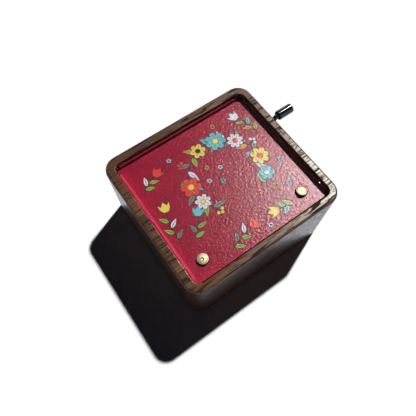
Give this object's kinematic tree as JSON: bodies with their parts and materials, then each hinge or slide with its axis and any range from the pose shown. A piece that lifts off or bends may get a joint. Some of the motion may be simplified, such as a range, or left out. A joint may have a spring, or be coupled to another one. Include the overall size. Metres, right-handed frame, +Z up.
{
  "type": "hand-cranked music box",
  "caption": "Wooden music box with a glazed printed top and a hand crank that turns a pinned drum against a steel comb.",
  "frame": {"origin": "centre of the case's underside, on the bottom cover's flat face", "axes": "+X towards the crank's side, -Y towards the front, +Z up through the glazed top"},
  "size_m": [0.0751, 0.0606, 0.034],
  "materials": {
    "walnut": "satin lacquer",
    "cover_plywood": "bare",
    "screw_steel": "bright",
    "printed_card": "printed",
    "clear_acrylic": "clear, polished edges",
    "polished_brass": "polished",
    "drum_brass": "satin",
    "cast_zinc": "as cast",
    "spring_steel": "ground",
    "blackened_wire": "blackened",
    "black_plastic": "gloss"
  },
  "bodies": {
    "case": {"walnut_case": "walnut", "bottom_cover": "cover_plywood", "cover_screw_front_left": "screw_steel", "cover_screw_front_right": "screw_steel", "cover_screw_back_left": "screw_steel", "cover_screw_back_right": "screw_steel", "printed_card": "printed_card", "acrylic_sheet": "clear_acrylic", "brass_stud_left": "polished_brass", "brass_stud_right": "polished_brass", "stud_nut_left": "screw_steel", "stud_nut_right": "screw_steel", "movement_frame": "cast_zinc", "steel_comb": "spring_steel", "comb_screw_front": "screw_steel", "comb_screw_back": "screw_steel"},
    "drum": {"pinned_drum": "drum_brass", "drum_cap": "drum_brass", "worm_wheel": "drum_brass", "drum_arbor": "screw_steel", "arbor_collar_front": "screw_steel", "arbor_collar_back": "screw_steel"},
    "crank": {"crank_wire": "blackened_wire", "worm": "drum_brass", "wire_collar": "screw_steel"},
    "knob": {"crank_knob": "black_plastic"}
  },
  "joints": [
    {"name": "crank_turn", "type": "hinge", "parent": "case", "child": "crank", "pos_m": [0.0341, 0.0105, 0.0199], "axis": [1, 0, 0], "continuous": true},
    {"name": "drum_turn", "type": "hinge", "parent": "case", "child": "drum", "pos_m": [0.0078, 0.0105, 0.0127], "axis": [0, 1, 0], "continuous": true},
    {"name": "knob_spin", "type": "hinge", "parent": "crank", "child": "knob", "pos_m": [0.03575, 0.0105, 0.0313], "axis": [1, 0, 0], "continuous": true}
  ],
  "couplings": [
    {"joint": "drum_turn", "follows": "crank_turn", "ratio": -0.05}
  ]
}
